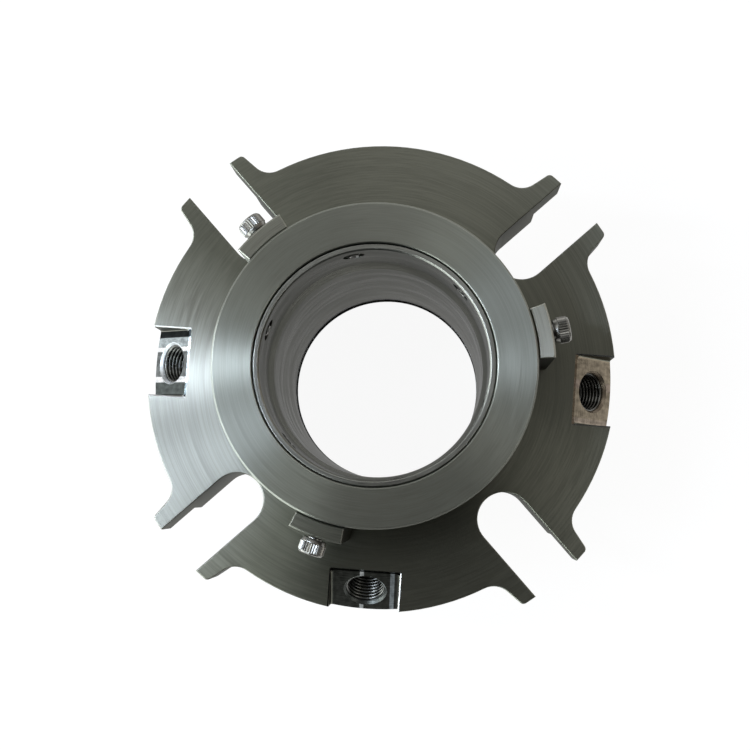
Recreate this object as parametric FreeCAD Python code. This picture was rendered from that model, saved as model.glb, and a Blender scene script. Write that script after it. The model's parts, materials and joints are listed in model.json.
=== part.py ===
import FreeCAD, Part
import os
from math import acos, cos, degrees, pi, radians, sin, sqrt

# Cartridge mechanical seal for a 70 mm shaft, in millimetres.
# The axis is +Z. The inboard end of the sleeve is at z = 0 and the drive collar is on top.
# The gland ports lie at 0, 180 and 270 degrees, and the bolt slots between them.

# Edges and cutters
edge_break = 0.5
fine_break = 0.25
cut_over = 1.0
tiny = 1e-6

# Shaft sleeve
shaft_r = 35.0
sleeve_wall = 3.25
flange_reach = 7.75
flange_len = 14.0
oring_groove_z = 4.6
oring_groove_len = 4.6
oring_groove_depth = 3.2
relief_depth = 1.3
relief_len = 23.7
relief_taper_len = 5.0

# Wave spring, thrust ring and drive pins
spring_clear = 1.05
spring_width = 3.0
spring_thick = 0.8
spring_room = 4.1
spring_seat_gap = 0.05
spring_waves = 5
points_per_wave = 8
spring_gap_angle = 4.0
thrust_len = 3.4
drive_pin_r = 1.25
drive_pin_inset = 0.8
drive_pin_sunk = 7.0
drive_pin_lap = 4.6
drive_pin_count = 3
notch_gap = 0.2
notch_spare = 2.6

# Primary ring
ring_inset = 1.0
ring_len = 15.0
ring_slide_gap = 0.08
ring_pocket_depth = 3.41
ring_pocket_len = 3.65
nose_clear = 1.55
nose_width = 3.4
nose_len = 3.0
rubber_gap = 0.06

# Stationary seat
face_lift = 1.4
seat_clear = 1.35
seat_overhang = 0.4
seat_len = 9.8
seat_fit = 0.1
seat_groove_depth = 2.16
seat_groove_len = 2.64
seat_groove_offset = 4.8
seat_lip_width = 3.6
seat_lip_len = 2.2
seat_pin_r = 1.25
seat_pin_inset = 1.9
seat_pin_lap = 2.0
seat_pin_angle = 90.0
gallery_depth = 1.2
gallery_len = 3.6

# Throttle bush and its retaining ring
bush_gap = 0.3
bush_wall = 5.95
bush_len = 14.0
bush_end_gap = 0.3
bush_lip_width = 2.5
bush_lip_len = 2.0
snap_thick = 1.5
snap_width = 3.2
snap_groove_depth = 1.6
snap_side_gap = 0.125
snap_land = 1.5
snap_opening = 16.0
snap_lug_r = 2.6
snap_lug_hole_r = 1.0
snap_lug_offset = 0.65
snap_angle = 90.0

# Gland plate with its spigot, boss, ears and bolt slots
gland_r = 80.65
gland_thick = 30.6
spigot_wall = 2.4
spigot_len = 5.0
boss_len = 14.2
clip_groove_z = 3.0
clip_groove_len = 4.2
clip_groove_depth = 2.6
ear_rise = 11.1
ear_thick = 16.3
ear_width = 5.0
ear_taper = 8.0
ear_corner_r = 1.7
ear_root_r = 7.0
slot_width = 18.4
slot_wall = 1.3
slot_angles = [45, 135, 225, 315]

# Gland gasket
gasket_clear = 1.2
gasket_width = 4.2
gasket_thick = 2.0
gasket_seat_depth = 1.5
gasket_side_gap = 0.1

# Ports in the gland, a quarter inch taper thread each
port_angles = {"flush": 0, "quench": 180, "drain": 270}
port_tilt = 45.0
port_face_run = 13.75
port_face_width = 23.6
port_face_corner_r = 1.2
port_edge_break = 0.4
port_r = 6.7
port_depth = 13.0
port_chamfer = 0.75
port_drill_r = 5.5
port_drill_len = 2.0
passage_r = 2.1

# Drive collar with its set screws
collar_wall = 13.2
collar_len = 26.2
collar_gap = 2.1
collar_fit = 0.05
sleeve_recess = 0.6
mouth_gap = 0.35
mouth_depth = 3.0
screw_drop = 8.2
set_screw_r = 3.0
set_screw_sunk = 3.4
set_screw_tip_gap = 1.1
set_screw_hex = 3.0
set_screw_hex_depth = 3.5
set_screw_count = 6
first_set_screw_angle = 45.0
sleeve_hole_gap = 0.5
thread_gap = 0.05

# Setting clips and their cap screws
clip_angles = [135, 15, 255]
clip_gap = 0.3
clip_thick = 5.2
clip_span = 17.6
clip_top_drop = 1.7
clip_foot_gap = 0.3
clip_hole_gap = 0.25
tongue_gap = 0.3
cap_screw_r = 2.5
cap_screw_len = 14.0
cap_head_r = 4.25
cap_head_len = 5.0
cap_stand_off = 0.9
cap_hex = 4.0
cap_hex_depth = 2.5

# Radii that follow from the sizes above, from the shaft outwards
sleeve_r = shaft_r + sleeve_wall
relief_r = shaft_r + relief_depth
oring_groove_r = shaft_r + oring_groove_depth
flange_r = sleeve_r + flange_reach
spring_inner_r = sleeve_r + spring_clear
ring_outer_r = flange_r - ring_inset
ring_pocket_r = sleeve_r + ring_pocket_depth
nose_inner_r = sleeve_r + nose_clear
drive_pin_circle_r = ring_outer_r - drive_pin_inset
seat_inner_r = sleeve_r + seat_clear
seat_outer_r = ring_outer_r + seat_overhang
seat_groove_r = seat_outer_r - seat_groove_depth
seat_pocket_r = seat_outer_r + seat_fit
seat_pin_circle_r = seat_outer_r - seat_pin_inset
bush_outer_r = sleeve_r + bush_gap + bush_wall
bush_pocket_r = bush_outer_r + seat_fit
snap_groove_r = bush_outer_r + snap_groove_depth
gallery_r = seat_outer_r + gallery_depth
spigot_r = gallery_r + spigot_wall
gasket_inner_r = spigot_r + gasket_clear
gasket_outer_r = gasket_inner_r + gasket_width
slot_floor_r = gasket_outer_r + slot_wall
slot_centre_r = slot_floor_r + slot_width / 2
ear_reach_r = gland_r + ear_rise
collar_bore_r = sleeve_r + collar_fit
collar_r = collar_bore_r + collar_wall
boss_r = collar_r
clip_inner_r = collar_r + clip_gap
clip_outer_r = clip_inner_r + clip_thick
cap_head_seat_r = clip_outer_r + cap_stand_off
cap_screw_tip_r = cap_head_seat_r - cap_screw_len

# Heights that follow from the sizes above, from the inboard end up
thrust_z = flange_len + spring_room
ring_z = thrust_z + thrust_len
face_z = ring_z + ring_len
gallery_top_z = face_z + gallery_len
seat_back_z = face_z + seat_len
seat_lip_top_z = seat_back_z + seat_lip_len
gland_bottom_z = face_z - face_lift
spigot_z = gland_bottom_z - spigot_len
gland_top_z = gland_bottom_z + gland_thick
ear_bottom_z = gland_top_z - ear_thick
boss_top_z = gland_top_z + boss_len
snap_z = boss_top_z - snap_land - snap_thick
bush_z = snap_z - bush_end_gap - bush_len
collar_bottom_z = boss_top_z + collar_gap
collar_top_z = collar_bottom_z + collar_len
screw_z = collar_top_z - screw_drop
sleeve_len = collar_top_z - sleeve_recess


def at(radius, angle, z):
    """Point at a radius and an angle in degrees about the axis, at height z."""
    return FreeCAD.Vector(radius * cos(radians(angle)), radius * sin(radians(angle)), z)


def turned(profile, start=0.0, sweep=360.0):
    """Turn a closed profile about the axis. Each point is (r, z) or (r, z, corner break)."""
    corners = []
    count = len(profile)
    for i, point in enumerate(profile):
        here = FreeCAD.Vector(point[0], 0, point[1])
        if len(point) == 2:
            corners.append(here)
            continue
        for other in (profile[i - 1], profile[(i + 1) % count]):
            away = FreeCAD.Vector(other[0], 0, other[1]) - here
            corners.append(here + away.normalize() * point[2])
    face = Part.Face(Part.makePolygon(corners + [corners[0]]))
    face.rotate(FreeCAD.Vector(), FreeCAD.Vector(0, 0, 1), start)
    return face.revolve(FreeCAD.Vector(), FreeCAD.Vector(0, 0, 1), sweep)


def radial_rod(radius, inner, outer, angle, z):
    """Cylinder that lies along a radius, from the inner to the outer distance."""
    return Part.makeCylinder(radius, outer - inner, at(inner, angle, z), at(1, angle, 0))


def hexagon(across_flats, depth, base, direction):
    """Hexagonal prism for a socket, from its base point along a direction."""
    corner_r = across_flats / (2 * cos(pi / 6))
    points = [FreeCAD.Vector(corner_r * cos(k * pi / 3), corner_r * sin(k * pi / 3), 0) for k in range(7)]
    prism = Part.Face(Part.makePolygon(points)).extrude(FreeCAD.Vector(0, 0, depth))
    prism.Placement = FreeCAD.Placement(base, FreeCAD.Rotation(FreeCAD.Vector(0, 0, 1), direction))
    return prism


def o_ring(inner_r, outer_r, z):
    """Rubber ring of round section that fills the room between two radii, less a fine gap."""
    section = outer_r - inner_r - 2 * rubber_gap
    return Part.makeTorus((inner_r + outer_r) / 2, section / 2, FreeCAD.Vector(0, 0, z))


def open_notch(half_width, circle_r, rim_r, bottom_z, top_z):
    """Round-ended notch that is open through a rim, at angle 0."""
    height = top_z - bottom_z
    end = Part.makeCylinder(half_width, height, at(circle_r, 0, bottom_z))
    run = Part.makeBox(rim_r - circle_r + cut_over, half_width * 2, height,
                       FreeCAD.Vector(circle_r, -half_width, bottom_z))
    return end.fuse(run)


def around(shape, angles):
    """Copies of a shape that was made at angle 0, one at each angle."""
    copies = []
    for angle in angles:
        copy = shape.copy()
        copy.rotate(FreeCAD.Vector(), FreeCAD.Vector(0, 0, 1), angle)
        copies.append(copy)
    return copies


def ear_side():
    """Half of one lug in the slot's own axes: tip corner, side line and root fillet.

    Returns the arcs as (start, middle, end) triples, for the side at positive v.
    """
    slope = radians(ear_taper)
    along = FreeCAD.Vector(-cos(slope), sin(slope), 0)
    outward = FreeCAD.Vector(sin(slope), cos(slope), 0)
    tip = FreeCAD.Vector(ear_reach_r, slot_width / 2 + ear_width, 0)

    def tangent_arc(radius, side, reach):
        base = tip + outward * (side * radius)
        b = base.dot(along)
        c = base.dot(base) - reach * reach
        centre = base + along * (-b - sqrt(b * b - c))
        on_line = centre - outward * (side * radius)
        to_rim = centre * (-side / centre.Length)
        on_rim = centre + to_rim * radius
        bisector = outward * -side + to_rim
        return on_line, centre + bisector.normalize() * radius, on_rim

    line_end, corner_mid, corner_start = tangent_arc(ear_corner_r, -1, ear_reach_r - ear_corner_r)
    line_start, root_mid, root_end = tangent_arc(ear_root_r, 1, gland_r + ear_root_r)
    return (corner_start, corner_mid, line_end), (line_start, root_mid, root_end)


def plate_outline():
    """Closed outline of the plate with its four slots and the pointed ears beside them."""
    corner, root = ear_side()
    half = slot_width / 2
    mouth = FreeCAD.Vector(sqrt(ear_reach_r ** 2 - half ** 2), half, 0)
    slot_end = FreeCAD.Vector(slot_centre_r, half, 0)
    tip_mid = (mouth + corner[0]).normalize() * ear_reach_r
    floor = FreeCAD.Vector(slot_floor_r, 0, 0)

    def flip(point):
        return FreeCAD.Vector(point.x, -point.y, 0)

    lug = [Part.Arc(flip(root[2]), flip(root[1]), flip(root[0])).toShape(),
           Part.makeLine(flip(root[0]), flip(corner[2])),
           Part.Arc(flip(corner[2]), flip(corner[1]), flip(corner[0])).toShape(),
           Part.Arc(flip(corner[0]), flip(tip_mid), flip(mouth)).toShape(),
           Part.makeLine(flip(mouth), flip(slot_end)),
           Part.Arc(flip(slot_end), floor, slot_end).toShape(),
           Part.makeLine(slot_end, mouth),
           Part.Arc(mouth, tip_mid, corner[0]).toShape(),
           Part.Arc(*corner).toShape(),
           Part.makeLine(corner[2], root[0]),
           Part.Arc(*root).toShape()]
    root_angle = degrees(acos(root[2].x / gland_r))
    edges = []
    for angle, following in zip(slot_angles, slot_angles[1:] + [slot_angles[0] + 360]):
        for piece in lug:
            edges += around(piece, [angle])
        ends = (angle + root_angle, following - root_angle)
        middle = (ends[0] + ends[1]) / 2
        edges.append(Part.Arc(*[at(gland_r, a, 0) for a in (ends[0], middle, ends[1])]).toShape())
    return Part.Wire(Part.sortEdges(edges)[0])


def slot_cutter(z, height):
    """Round-ended slot that runs out through the rim, at angle 0."""
    return open_notch(slot_width / 2, slot_centre_r, gland_r, z, z + height)


def port_cutter(passage_end_r, passage_end_z):
    """Slanted flat across the rim, its taper-threaded hole and the drilled way in, at angle 0."""
    tilt = radians(port_tilt)
    out = FreeCAD.Vector(sin(tilt), 0, cos(tilt))
    down = FreeCAD.Vector(cos(tilt), 0, -sin(tilt))
    edge = FreeCAD.Vector(gland_r - port_face_run, 0, gland_top_z)
    face_len = port_face_run / cos(tilt)
    reach = face_len + ear_thick
    flat = Part.makeBox(reach, port_face_width, reach)
    flat = flat.makeFillet(port_face_corner_r, [e for e in flat.Edges if runs_along_floor(e)])
    flat.Placement = FreeCAD.Placement(
        edge - down * (reach - face_len) / 2 - FreeCAD.Vector(0, port_face_width / 2, 0),
        FreeCAD.Rotation(FreeCAD.Vector(0, 1, 0), port_tilt))
    above = Part.makeBox(reach * 2, port_face_width * 2, reach * 2,
                         FreeCAD.Vector(edge.x, -port_face_width, ear_bottom_z - reach))
    flat = flat.common(above).fuse(port_edge_cutter(edge, reach))
    mouth = edge + down * (face_len / 2)
    hole = Part.makeCylinder(port_r, port_depth, mouth, -out)
    lead_in = Part.makeCone(port_r + port_chamfer, port_r, port_chamfer, mouth, -out)
    drill = Part.makeCylinder(port_drill_r, port_depth + port_drill_len, mouth, -out)
    floor = mouth - out * (port_depth - passage_r)
    goal = FreeCAD.Vector(passage_end_r, 0, passage_end_z)
    passage = Part.makeCylinder(passage_r, (floor - goal).Length, goal, floor - goal)
    return [flat, hole.fuse([lead_in, drill, passage])]


def port_edge_cutter(edge, reach):
    """Flared mouth that breaks the three upper edges of a port's flat."""
    low, top, over = gland_top_z - port_edge_break, gland_top_z, gland_top_z + cut_over
    half = port_face_width / 2
    wide = half + port_edge_break
    start = edge.x - port_edge_break
    section = [(-half, low), (-wide, top), (-wide, over), (wide, over), (wide, top), (half, low)]
    section.append(section[0])
    flare = Part.Face(Part.makePolygon([FreeCAD.Vector(start, y, z) for y, z in section]))
    flare = flare.extrude(FreeCAD.Vector(reach, 0, 0))
    above = Part.makeBox(reach * 2, wide * 2, reach)
    above.Placement = FreeCAD.Placement(FreeCAD.Vector(start, -wide, top),
                                        FreeCAD.Rotation(FreeCAD.Vector(0, 1, 0), port_tilt / 2))
    return flare.common(above)


def runs_along_floor(edge):
    """True for the two long lower edges of the flat's cutter, where wall meets floor."""
    box = edge.BoundBox
    return box.ZMax < tiny and box.YLength < tiny


def gland_plate():
    """Turned plate with boss and spigot, slotted for the studs and drilled for three ports."""
    top = Part.Face(plate_outline()).extrude(FreeCAD.Vector(0, 0, ear_thick))
    top = top.makeChamfer(fine_break, [e for e in top.Edges if e.BoundBox.ZMin > ear_thick / 2])
    top.translate(FreeCAD.Vector(0, 0, ear_bottom_z))
    disc = turned([(0, gland_bottom_z), (gland_r, gland_bottom_z, edge_break),
                   (gland_r, ear_bottom_z), (0, ear_bottom_z)])
    disc = disc.cut(around(slot_cutter(gland_bottom_z, gland_thick), slot_angles))
    groove_bottom_z = gland_top_z + clip_groove_z
    groove_top_z = groove_bottom_z + clip_groove_len
    groove_floor_r = boss_r - clip_groove_depth
    boss = turned([(0, ear_bottom_z), (boss_r, ear_bottom_z),
                   (boss_r, groove_bottom_z, fine_break), (groove_floor_r, groove_bottom_z),
                   (groove_floor_r, groove_top_z), (boss_r, groove_top_z, fine_break),
                   (boss_r, boss_top_z, edge_break), (0, boss_top_z)])
    spigot = turned([(0, spigot_z), (spigot_r, spigot_z, edge_break),
                     (spigot_r, ear_bottom_z), (0, ear_bottom_z)])
    plate = top.fuse([disc, boss, spigot]).removeSplitter()
    seat_lip_r = seat_outer_r - seat_lip_width
    bush_lip_r = bush_outer_r - bush_lip_width
    bush_lip_z = bush_z - bush_lip_len
    bore = turned([(0, spigot_z - cut_over), (gallery_r, spigot_z - cut_over),
                   (gallery_r, gallery_top_z), (seat_pocket_r, gallery_top_z),
                   (seat_pocket_r, seat_back_z), (seat_lip_r, seat_back_z),
                   (seat_lip_r, seat_lip_top_z), (bush_pocket_r, seat_lip_top_z),
                   (bush_pocket_r, bush_lip_z), (bush_lip_r, bush_lip_z), (bush_lip_r, bush_z),
                   (bush_pocket_r, bush_z),
                   (bush_pocket_r, snap_z - snap_side_gap), (snap_groove_r, snap_z - snap_side_gap),
                   (snap_groove_r, snap_z + snap_thick + snap_side_gap),
                   (bush_pocket_r, snap_z + snap_thick + snap_side_gap),
                   (bush_pocket_r, boss_top_z + cut_over), (0, boss_top_z + cut_over)])
    gasket_seat = turned([(gasket_inner_r, spigot_z), (gasket_outer_r, spigot_z),
                          (gasket_outer_r, gland_bottom_z + gasket_seat_depth),
                          (gasket_inner_r, gland_bottom_z + gasket_seat_depth)])
    pin_hole = Part.makeCylinder(seat_pin_r, seat_lip_len, at(seat_pin_circle_r, seat_pin_angle, seat_back_z))
    plate = plate.cut([bore, gasket_seat, pin_hole])
    flush_end = (gallery_r - passage_r, gallery_top_z - passage_r)
    quench_end = (bush_pocket_r - passage_r, seat_lip_top_z + passage_r + edge_break)
    for port, angle in port_angles.items():
        end = flush_end if port == "flush" else quench_end
        for cutter in around_each(port_cutter(*end), angle):
            plate = plate.cut(cutter)
    return plate


def around_each(shapes, angle):
    """Each of several shapes turned by one angle."""
    return [around(shape, [angle])[0] for shape in shapes]


def shaft_sleeve():
    """Long turned sleeve with a flange at the inboard end and a relieved bore under the collar."""
    relief_z = sleeve_len - relief_len
    sleeve = turned([(shaft_r, 0, edge_break), (flange_r, 0, edge_break),
                     (flange_r, flange_len, edge_break), (sleeve_r, flange_len),
                     (sleeve_r, sleeve_len, fine_break), (relief_r, sleeve_len, edge_break),
                     (relief_r, relief_z), (shaft_r, relief_z - relief_taper_len),
                     (shaft_r, oring_groove_z + oring_groove_len),
                     (oring_groove_r, oring_groove_z + oring_groove_len),
                     (oring_groove_r, oring_groove_z), (shaft_r, oring_groove_z)])
    hole = radial_rod(set_screw_r + sleeve_hole_gap, shaft_r - cut_over, sleeve_r + cut_over, 0, screw_z)
    pin_floor_z = flange_len - drive_pin_sunk
    pin_hole = Part.makeCylinder(drive_pin_r, drive_pin_sunk, at(drive_pin_circle_r, 0, pin_floor_z))
    return sleeve.cut(around(hole, set_screw_angles()) + around(pin_hole, drive_pin_angles()))


def set_screw_angles():
    return [first_set_screw_angle + 360 / set_screw_count * k for k in range(set_screw_count)]


def drive_pin_angles():
    return [360 / drive_pin_count * k for k in range(drive_pin_count)]


def sleeve_oring():
    """Ring that seals the sleeve to the shaft."""
    return o_ring(shaft_r, oring_groove_r, oring_groove_z + oring_groove_len / 2)


def drive_pins():
    """Dowels in the sleeve's flange that turn the thrust ring and the primary ring."""
    foot_z = flange_len - drive_pin_sunk
    length = ring_z + drive_pin_lap - foot_z
    pin = Part.makeCylinder(drive_pin_r, length, at(drive_pin_circle_r, 0, foot_z))
    pin = pin.makeChamfer(fine_break, [e for e in pin.Edges if e.BoundBox.ZMin > foot_z + length / 2])
    return Part.Compound(around(pin, drive_pin_angles()))


def pin_notch(bottom_z, top_z):
    """Open notch that a drive pin slides in, at angle 0."""
    return open_notch(drive_pin_r + notch_gap, drive_pin_circle_r, ring_outer_r, bottom_z, top_z)


def wave_spring():
    """Flat wire bent into waves, open at one place, between the flange and the thrust ring."""
    bottom_z = flange_len + spring_seat_gap
    rise = (thrust_z - spring_seat_gap - bottom_z - spring_thick) / 2
    sweep = 360 - spring_gap_angle
    steps = spring_waves * points_per_wave

    def strip_edge(radius, lift):
        points = []
        for k in range(steps + 1):
            turn = spring_gap_angle / 2 + sweep * k / steps
            height = rise * (1 - cos(2 * pi * spring_waves * k / steps))
            points.append(at(radius, turn, bottom_z + lift + height))
        curve = Part.BSplineCurve()
        curve.interpolate(points)
        return curve.toShape()

    outer_r = spring_inner_r + spring_width
    rails = [strip_edge(spring_inner_r, 0), strip_edge(outer_r, 0),
             strip_edge(outer_r, spring_thick), strip_edge(spring_inner_r, spring_thick)]
    faces = [Part.makeRuledSurface(rails[k], rails[(k + 1) % 4]) for k in range(4)]
    for end in (0, -1):
        corners = [rail.Vertexes[end].Point for rail in rails]
        faces.append(Part.Face(Part.makePolygon(corners + [corners[0]])))
    sewn = Part.makeShell(faces)
    sewn.sewShape()
    solid = Part.makeSolid(sewn)
    return solid if solid.Volume > 0 else solid.reversed()


def thrust_ring():
    """Metal ring between the spring and the rubber ring behind the primary ring."""
    inner_r = sleeve_r + ring_slide_gap
    ring = turned([(inner_r, thrust_z), (ring_outer_r, thrust_z, fine_break),
                   (ring_outer_r, ring_z, fine_break), (inner_r, ring_z)])
    return ring.cut(around(pin_notch(thrust_z - cut_over, ring_z + cut_over), drive_pin_angles()))


def primary_ring():
    """Carbon ring with the running nose, a pocket for its rubber ring and three drive notches."""
    inner_r = sleeve_r + ring_slide_gap
    pocket_top_z = ring_z + ring_pocket_len
    nose_outer_r = nose_inner_r + nose_width
    shoulder_z = face_z - nose_len
    ring = turned([(ring_pocket_r, ring_z), (ring_outer_r, ring_z, fine_break),
                   (ring_outer_r, shoulder_z, edge_break), (nose_outer_r, shoulder_z),
                   (nose_outer_r, face_z), (nose_inner_r, face_z), (nose_inner_r, shoulder_z),
                   (inner_r, shoulder_z - (nose_inner_r - inner_r)), (inner_r, pocket_top_z),
                   (ring_pocket_r, pocket_top_z)])
    notch = pin_notch(ring_z - cut_over, ring_z + drive_pin_lap + notch_spare)
    return ring.cut(around(notch, drive_pin_angles()))


def primary_oring():
    """Rubber ring that slides on the sleeve with the primary ring."""
    return o_ring(sleeve_r, ring_pocket_r, ring_z + ring_pocket_len / 2)


def stationary_seat():
    """Hard ring held in the gland, lapped flat where the primary ring runs."""
    groove_bottom_z = face_z + seat_groove_offset - seat_groove_len / 2
    groove_top_z = groove_bottom_z + seat_groove_len
    seat = turned([(seat_inner_r, face_z, fine_break), (seat_outer_r, face_z, fine_break),
                   (seat_outer_r, groove_bottom_z), (seat_groove_r, groove_bottom_z),
                   (seat_groove_r, groove_top_z), (seat_outer_r, groove_top_z),
                   (seat_outer_r, seat_back_z, fine_break), (seat_inner_r, seat_back_z, fine_break)])
    notch = open_notch(seat_pin_r + notch_gap, seat_pin_circle_r, seat_outer_r,
                       seat_back_z - seat_pin_lap, seat_back_z + cut_over)
    return seat.cut(around(notch, [seat_pin_angle]))


def seat_oring():
    """Rubber ring in the seat's groove."""
    return o_ring(seat_groove_r, seat_pocket_r, face_z + seat_groove_offset)


def seat_pin():
    """Dowel in the gland's lip that stops the seat from turning."""
    foot = at(seat_pin_circle_r, seat_pin_angle, seat_back_z - seat_pin_lap + notch_gap)
    return Part.makeCylinder(seat_pin_r, seat_lip_top_z - foot.z, foot)


def throttle_bush():
    """Close-fitting carbon bush at the outboard end of the gland."""
    inner_r = sleeve_r + bush_gap
    return turned([(inner_r, bush_z, edge_break), (bush_outer_r, bush_z, edge_break),
                   (bush_outer_r, bush_z + bush_len, edge_break), (inner_r, bush_z + bush_len, edge_break)])


def bush_retaining_ring():
    """Internal snap ring with two drilled lugs, sprung into the groove above the bush."""
    outer_r = snap_groove_r - seat_fit
    inner_r = outer_r - snap_width
    half = snap_opening / 2
    ring = turned([(inner_r, snap_z), (outer_r, snap_z), (outer_r, snap_z + snap_thick),
                   (inner_r, snap_z + snap_thick)], half, 360 - snap_opening)
    lug_centre_r = inner_r - snap_lug_offset
    hand = degrees(snap_lug_r / lug_centre_r)
    lugs = []
    holes = []
    for side in (1, -1):
        centre = at(lug_centre_r, side * (half + hand), snap_z)
        lugs.append(Part.makeCylinder(snap_lug_r, snap_thick, centre))
        holes.append(Part.makeCylinder(snap_lug_hole_r, snap_thick, centre))
    ring = ring.fuse(lugs).cut(holes).removeSplitter()
    return around(ring, [snap_angle])[0]


def gland_gasket():
    """Flat ring between the gland and the seal chamber's face."""
    inner_r = gasket_inner_r + gasket_side_gap
    outer_r = gasket_outer_r - gasket_side_gap
    top_z = gland_bottom_z + gasket_seat_depth
    bottom_z = top_z - gasket_thick
    return turned([(inner_r, bottom_z), (outer_r, bottom_z), (outer_r, top_z), (inner_r, top_z)])


def drive_collar():
    """Collar that clamps the sleeve to the shaft, tapped for set screws and clip screws."""
    mouth_r = collar_bore_r + mouth_gap
    mouth_z = collar_top_z - mouth_depth
    collar = turned([(collar_bore_r, collar_bottom_z, edge_break), (collar_r, collar_bottom_z, edge_break),
                     (collar_r, collar_top_z, edge_break), (mouth_r, collar_top_z, fine_break),
                     (mouth_r, mouth_z), (collar_bore_r, mouth_z)])
    set_hole = radial_rod(set_screw_r, collar_bore_r - cut_over, collar_r + cut_over, 0, screw_z)
    clip_hole = radial_rod(cap_screw_r, cap_screw_tip_r - edge_break, collar_r + cut_over, 0, screw_z)
    return collar.cut(around(set_hole, set_screw_angles()) + around(clip_hole, clip_angles))


def collar_set_screws():
    """Hexagon socket set screws that pass through the sleeve and grip the shaft."""
    outer_r = collar_r - set_screw_sunk
    rod = radial_rod(set_screw_r - thread_gap, shaft_r + set_screw_tip_gap, outer_r, 0, screw_z)
    rod = rod.makeChamfer(edge_break, [e for e in rod.Edges if e.BoundBox.XLength < tiny])
    socket_floor = at(outer_r - set_screw_hex_depth, 0, screw_z)
    socket = hexagon(set_screw_hex, set_screw_hex_depth, socket_floor, at(1, 0, 0))
    return Part.Compound(around(rod.cut(socket), set_screw_angles()))


def setting_clip(angle):
    """Sector cut from a ring, whose tongue sits in the groove of the gland's boss."""
    foot_z = gland_top_z + clip_foot_gap
    top_z = collar_top_z - clip_top_drop
    tongue_z = gland_top_z + clip_groove_z + tongue_gap
    tongue_top_z = tongue_z + clip_groove_len - 2 * tongue_gap
    tongue_r = boss_r - clip_groove_depth + tongue_gap
    clip = turned([(clip_inner_r, foot_z, fine_break), (clip_outer_r, foot_z, fine_break),
                   (clip_outer_r, top_z, edge_break), (clip_inner_r, top_z, edge_break),
                   (clip_inner_r, tongue_top_z), (tongue_r, tongue_top_z, fine_break),
                   (tongue_r, tongue_z, fine_break), (clip_inner_r, tongue_z)],
                  angle - clip_span / 2, clip_span)
    clip = clip.makeChamfer(fine_break, [e for e in clip.Edges if ends_top_face(e, top_z)])
    hole_r = cap_screw_r + clip_hole_gap
    return clip.cut(radial_rod(hole_r, tongue_r, clip_outer_r + cut_over, angle, screw_z))


def ends_top_face(edge, top_z):
    """True for the two straight edges at the ends of a clip's top face."""
    return edge.BoundBox.ZMin > top_z - tiny and edge.Curve.TypeId == "Part::GeomLine"


def clip_screw(angle):
    """Socket head cap screw that holds a setting clip to the collar."""
    top_r = cap_head_seat_r + cap_head_len
    shank_r = cap_screw_r - thread_gap
    screw = turned_rod([(cap_screw_tip_r, shank_r, edge_break), (cap_head_seat_r, shank_r),
                        (cap_head_seat_r, cap_head_r, fine_break), (top_r, cap_head_r, edge_break)],
                       angle, screw_z)
    socket = hexagon(cap_hex, cap_hex_depth, at(top_r - cap_hex_depth, angle, screw_z), at(1, angle, 0))
    return screw.cut(socket)


def turned_rod(stations, angle, z):
    """Turned pin along a radius, from its outline as (distance, radius, corner break) stations."""
    outline = [(0, stations[0][0])] + [(s[1], s[0]) + tuple(s[2:]) for s in stations] + [(0, stations[-1][0])]
    rod = turned(outline)
    rod.rotate(FreeCAD.Vector(), FreeCAD.Vector(0, 1, 0), 90)
    rod.rotate(FreeCAD.Vector(), FreeCAD.Vector(0, 0, 1), angle)
    rod.translate(FreeCAD.Vector(0, 0, z))
    return rod


nodes = {
    "gland_plate": gland_plate(),
    "gland_gasket": gland_gasket(),
    "stationary_seat": stationary_seat(),
    "seat_oring": seat_oring(),
    "seat_pin": seat_pin(),
    "throttle_bush": throttle_bush(),
    "bush_retaining_ring": bush_retaining_ring(),
    "shaft_sleeve": shaft_sleeve(),
    "sleeve_oring": sleeve_oring(),
    "drive_pins": drive_pins(),
    "wave_spring": wave_spring(),
    "thrust_ring": thrust_ring(),
    "primary_ring": primary_ring(),
    "primary_oring": primary_oring(),
    "drive_collar": drive_collar(),
    "collar_set_screws": collar_set_screws(),
}
for number, clip_angle in enumerate(clip_angles, start=1):
    nodes["setting_clip_%d" % number] = setting_clip(clip_angle)
    nodes["clip_screw_%d" % number] = clip_screw(clip_angle)

os.makedirs("parts", exist_ok=True)
for name, shape in nodes.items():
    shape.exportStep("parts/%s.step" % name)
    print("%-20s solids %d  valid %s  volume %.1f" % (name, len(shape.Solids), shape.isValid(), shape.Volume))
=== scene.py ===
import json
from math import cos, pi, radians, sin

import bmesh
import bpy
from mathutils import Matrix, Vector


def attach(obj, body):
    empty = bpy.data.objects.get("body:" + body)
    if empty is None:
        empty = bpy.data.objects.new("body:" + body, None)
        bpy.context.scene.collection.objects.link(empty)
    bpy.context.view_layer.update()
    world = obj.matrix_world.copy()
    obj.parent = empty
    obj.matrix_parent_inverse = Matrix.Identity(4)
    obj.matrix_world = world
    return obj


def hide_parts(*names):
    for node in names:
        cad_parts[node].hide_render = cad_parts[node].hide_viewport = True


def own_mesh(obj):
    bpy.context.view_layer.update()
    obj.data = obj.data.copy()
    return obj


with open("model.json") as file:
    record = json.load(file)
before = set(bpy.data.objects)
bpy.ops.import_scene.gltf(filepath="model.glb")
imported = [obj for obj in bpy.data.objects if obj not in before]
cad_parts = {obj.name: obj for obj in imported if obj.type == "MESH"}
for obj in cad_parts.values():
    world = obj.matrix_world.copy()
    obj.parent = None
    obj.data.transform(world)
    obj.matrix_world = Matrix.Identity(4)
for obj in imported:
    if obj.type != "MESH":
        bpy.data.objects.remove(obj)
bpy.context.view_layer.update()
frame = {"nodes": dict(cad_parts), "record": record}
nodes = frame["nodes"]
MM = 0.001

# Shaft sleeve
# The long sleeve that slips over the pump's shaft, with the flange that drives the rotating face.
# It is fine turned in one piece from stainless bar, so the tool lines run round the axis.
SLEEVE_GREY = (0.290, 0.292, 0.262)
SLEEVE_LINE = 0.20 * MM
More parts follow.
